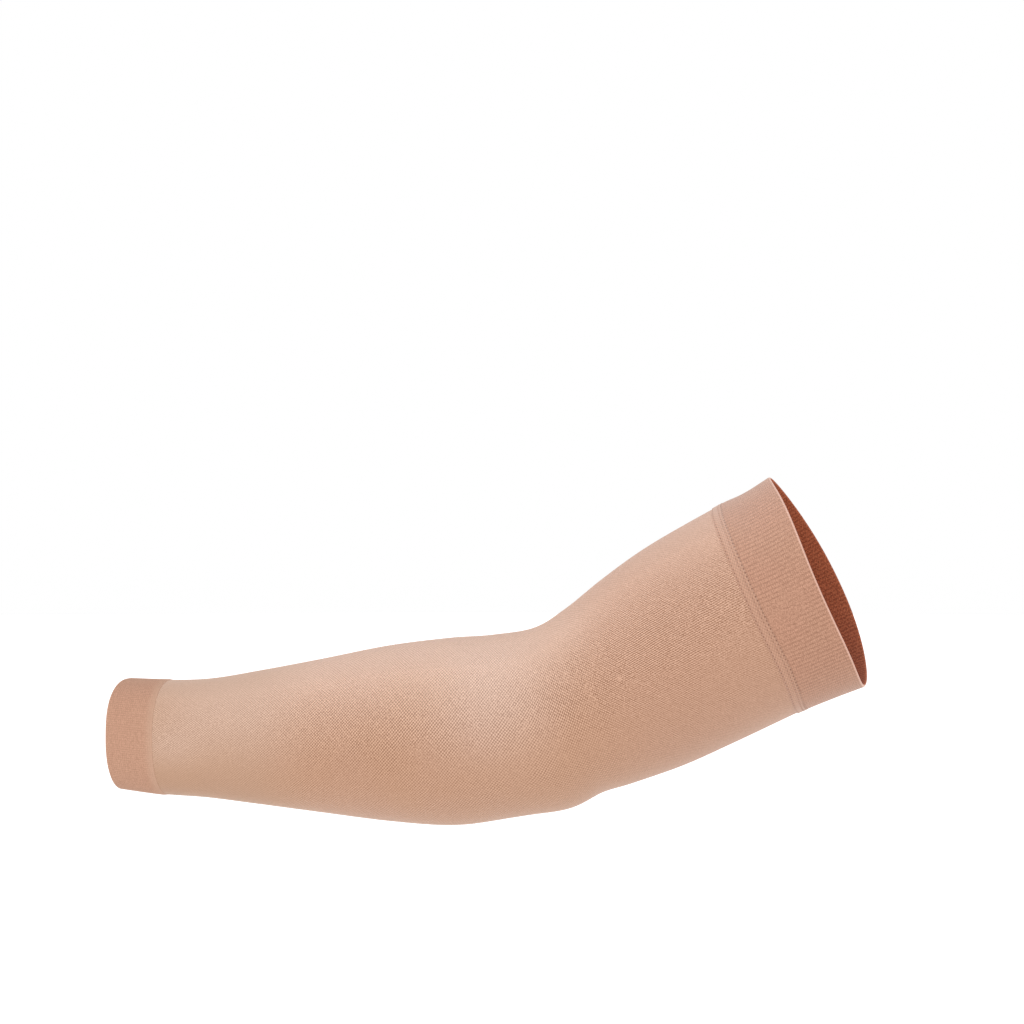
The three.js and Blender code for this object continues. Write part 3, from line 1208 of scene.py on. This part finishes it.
@dataclass
class HemSeam:
    """The hem: two ridges of turned cloth between three rows of stitches."""

    layout: Layout  # where the pieces meet
    proud: float = 0.55  # height of the ridges
    groove: float = 0.4  # height of the stitched groove between them
    rise: float = 0.16  # share of the seam's width over which it rises from the tube
    wall: float = 1.0  # how far the seam goes in, to the tube's inner face
    dimple: float = 0.2  # how far each stitch pulls the cloth in
    dimple_reach: float = 0.08  # half the width of such a pull, as a share of the seam's width
    steps_per_cell: int = 4  # columns across a knit cell
    steps_across: int = 24  # rows over the ridges
    thread: float = 0.16  # half the thickness of the sewing thread
    thread_out: float = 0.6  # how far its middle lies out of the groove, as a share of that half
    stitch_share: float = 0.6  # share of a cell that a stitch covers
    stitch_sides: int = 6  # faces round a stitch
    stitch_rings: int = 5  # rings of faces along it
    inner_ridge: float = 0.5  # how far the turned edge stands out inside the sleeve
    inner_steps: int = 8  # rows over that edge

    ROWS = ((0.13, 0.95), (0.66, 0.7), (0.93, 1.0))  # place across the seam and darkness of each row
    ROUNDNESS = 0.7  # power of the ridges' half waves: less than 1 is fuller

    @property
    def rows(self) -> list[tuple[float, float]]:
        """Where the rows of stitches lie along the arm, and how dark each is."""
        layout = self.layout
        return [(layout.seam_start + share * layout.seam_width, dark) for share, dark in self.ROWS]

    def _across(self, along: float) -> float:
        """Give a place along the arm as a share of the seam's width."""
        return (along - self.layout.seam_start) / self.layout.seam_width

    def height(self, along: float) -> float:
        """Shape the two ridges.

        Args:
            along: Distance from the wrist edge.

        Returns:
            How far the seam stands out there.
        """
        share = self._across(along)
        ridge = 0.0
        for (near, _), (far, _) in zip(self.ROWS, self.ROWS[1:]):
            across = (share - near) / (far - near)
            if 0 < across < 1:
                ridge = math.sin(math.pi * across) ** self.ROUNDNESS
        low = self.groove * min(max(share, 0) / self.rise, 1.0)
        return low + (self.proud - low) * ridge

    def build(self) -> bpy.types.Object:
        """Make the band of turned cloth.

        Returns:
            The dressed piece.
        """
        start, end = self.layout.seam_start, self.layout.seam_end
        crown = straight(start, end, 0, self.steps_across, Face.OUTER)
        profile = [point._replace(out=self.height(point.along)) for point in crown]
        turned = straight(end, start, -self.wall, self.inner_steps, Face.INNER)
        for step, point in enumerate(turned):
            ridge = self.inner_ridge * math.sin(math.pi * step / self.inner_steps)
            profile.append(point._replace(out=point.out - ridge))
        form, drift = self.layout.form, self.layout.drift
        steps = CELLS_AROUND * self.steps_per_cell
        piece = Wall("hem_seam_band", form, profile, steps, self._pulled, drift).build()
        dress(piece, SEAM_KNIT.material(self.rows), SEAM_INSIDE.material(self.rows))
        return piece

    def _pulled(self, cells: float, along: float, face: Face) -> float:
        """Pull the cloth in at each needle hole.

        Args:
            cells: Cells round the arm.
            along: Distance from the wrist edge.
            face: The face of the cloth.

        Returns:
            How far the cloth stands out for it, below 0 where it is pulled in.
        """
        if face is Face.INNER:
            return 0.0
        share = self._across(along)
        pull = max(dark * bell((share - place) / self.dimple_reach) for place, dark in self.ROWS)
        return -self.dimple * pull * (0.5 - 0.5 * math.cos(FULL_TURN * cells))

    def sew(self) -> bpy.types.Object:
        """Lay the stitches in the seam's grooves.

        Returns:
            All the stitches, as one dressed piece.
        """
        bm = bmesh.new()
        for along, _ in self.rows:
            for cell in range(CELLS_AROUND):
                self._stitch(bm, along, self.layout.form.turn_at(along, cell / CELLS_AROUND))
        for face in bm.faces:
            face.smooth = True
        piece = to_piece("hem_stitches", bm)
        dress(piece, STITCH_THREAD.material())
        return piece

    def _stitch(self, bm: bmesh.types.BMesh, along: float, turn: float) -> None:
        """Add one stitch, lying round the arm.

        Args:
            bm: The mesh that holds all the stitches.
            along: Its place along the arm.
            turn: Its place round the arm.
        """
        form = self.layout.form
        half = FULL_TURN / CELLS_AROUND * self.stitch_share / 2
        out = self.height(along) + self.thread * self.thread_out
        along += self.layout.drift(turn, along)
        middle = form.point(along, turn, out)
        run = form.point(along, turn + half, out) - form.point(along, turn - half, out)
        rise = form.point(along, turn, out + 1) - middle
        lengthwise = run.normalized()
        across = lengthwise.cross(rise).normalized()
        up = across.cross(lengthwise)
        axes = Matrix((across * self.thread * MM, up * self.thread * MM, run / 2)).transposed().to_4x4()
        bmesh.ops.create_uvsphere(
            bm,
            u_segments=self.stitch_sides,
            v_segments=self.stitch_rings,
            radius=1,
            matrix=Matrix.Translation(middle) @ axes,
        )


@dataclass(frozen=True)
class SoftLight:
    """A studio light so far off and so broad that it falls evenly and softly."""

    name: str  # the light's name
    comes_from: tuple[float, float, float]  # the way it comes from
    strength: float  # its strength, in watts per square metre
    breadth: float  # the angle it fills, in degrees
    gloss_only: bool  # whether it only shows in the yarn's gloss

    def hang(self) -> None:
        """Put the light up."""
        light = bpy.data.lights.new(self.name, "SUN")
        light.energy = self.strength
        light.angle = math.radians(self.breadth)
        lamp = bpy.data.objects.new(self.name, light)
        lamp.location = self.comes_from
        lamp.visible_diffuse = not self.gloss_only
        lamp.rotation_euler = Vector(self.comes_from).to_track_quat("Z", "Y").to_euler()
        bpy.context.scene.collection.objects.link(lamp)


@dataclass
class Studio:
    """A pale floor, soft white surroundings and the camera, in metres."""

    floor_height: float = -0.45  # height of the floor
    floor_radius: float = 12.0  # radius of the floor
    floor_sides: int = 96  # sides of its round outline
    floor_tone: float = 0.95  # how pale it is
    floor_roughness: float = 0.9  # roughness of its surface
    floor_glow: float = 0.4  # strength of its own white glow
    surround: float = 1.0  # strength of the light from all round
    above: float = 0.55  # share of it that comes from straight above
    below: float = 0.78  # share of it that comes from straight below
    level: float = 0.25  # how far up the full strength reaches, as the upward part of a unit direction
    lens: float = 85.0  # the camera's focal length, in millimetres
    azimuth: float = 12.2  # how far round to the upper arm's side the camera stands, in degrees
    distance: float = 1.27  # from the camera to the sleeve's plane
    target: tuple[float, float, float] = (-0.022, 0.0, 0.1068)  # where its axis meets that plane

    LIGHTS = (
        SoftLight("key", (-0.6, -1.0, 0.5), 0.44, 60.0, False),
        SoftLight("gloss from above", (-0.18, -0.06, 1.0), 10.3, 90.0, True),
        SoftLight("gloss from below", (-0.2, 0.5, -0.85), 1.9, 90.0, True),
    )

    def build(self) -> None:
        """Set up the floor, lights, surroundings and camera."""
        self._floor()
        self._surroundings()
        for light in self.LIGHTS:
            light.hang()
        self._camera()

    def _floor(self) -> None:
        """Lay the floor."""
        bm = bmesh.new()
        place = Matrix.Translation((0, 0, self.floor_height))
        sides, radius = self.floor_sides, self.floor_radius
        bmesh.ops.create_circle(bm, cap_ends=True, segments=sides, radius=radius, matrix=place)
        floor = to_piece("floor", bm)
        recipe = Recipe("floor_white")
        tone = self.floor_tone
        recipe.fill({"Base Color": (tone, tone, tone, 1), "Roughness": self.floor_roughness})
        recipe.fill({"Emission Color": (1, 1, 1, 1), "Emission Strength": self.floor_glow})
        dress(floor, recipe.material)
        floor.visible_diffuse = False
        floor.visible_shadow = False

    def _surroundings(self) -> None:
        """Light the scene from all round, less from above and below, and show colours as they are."""
        world = bpy.data.worlds.new("studio")
        world.use_nodes = True
        nodes = Nodes(world.node_tree)
        upward = nodes.node("SeparateXYZ", {0: nodes.node("TexCoord", {}, "Generated")}, "Z")
        upper = nodes.blend(nodes.ease(upward, self.level, 1.0), 1.0, self.above)
        lower = nodes.blend(nodes.ease(upward, 0.0, -1.0), 1.0, self.below)
        background = world.node_tree.nodes["Background"]
        nodes.feed(background.inputs["Color"], (self.surround, self.surround, self.surround, 1))
        nodes.feed(background.inputs["Strength"], upper * lower)
        bpy.context.scene.world = world
        bpy.context.scene.view_settings.view_transform = "Standard"

    def _camera(self) -> None:
        """Stand the camera where the sleeve is seen bent, with its upper mouth turned away."""
        turn = math.radians(self.azimuth)
        back = Vector((math.sin(turn), -math.cos(turn), 0))
        data = bpy.data.cameras.new("camera")
        data.lens = self.lens
        camera = bpy.data.objects.new("camera", data)
        camera.location = Vector(self.target) + back * self.distance
        camera.rotation_euler = (-back).to_track_quat("-Z", "Y").to_euler()
        bpy.context.scene.collection.objects.link(camera)
        bpy.context.scene.camera = camera


@dataclass
class FlatCloth:
    """Cloth as it was knitted, lying flat and slit open, in metres."""

    wide: float  # its width at the wider end
    long: float  # its length along the arm
    narrow: float  # its width at the narrower end


def main() -> None:
    """Build the sleeve and its studio."""
    logging.basicConfig(level=logging.INFO, format="%(name)s %(message)s")
    layout = Layout(ArmForm(SECTIONS, SWELLS))
    Studio().build()
    tube = KnitTube(layout).build()
    carry(tube, "mesh_knit", "arm_tube")
    hem = HemSeam(layout)
    band = hem.build()
    carry(band, "rib_knit", "hem_seam")
    stitches = hem.sew()
    carry(stitches, "rib_knit")
    upper = RibCuff(layout, End.UPPER, joined_proud=0.35, wave=0.8, ripple=1.4, fold_highlight_from=78).build()
    carry(upper, "rib_knit", "upper_cuff")
    wrist = RibCuff(layout, End.WRIST, wave=-0.6).build()
    carry(wrist, "rib_knit", "wrist_cuff")


if __name__ == "__main__":
    main()
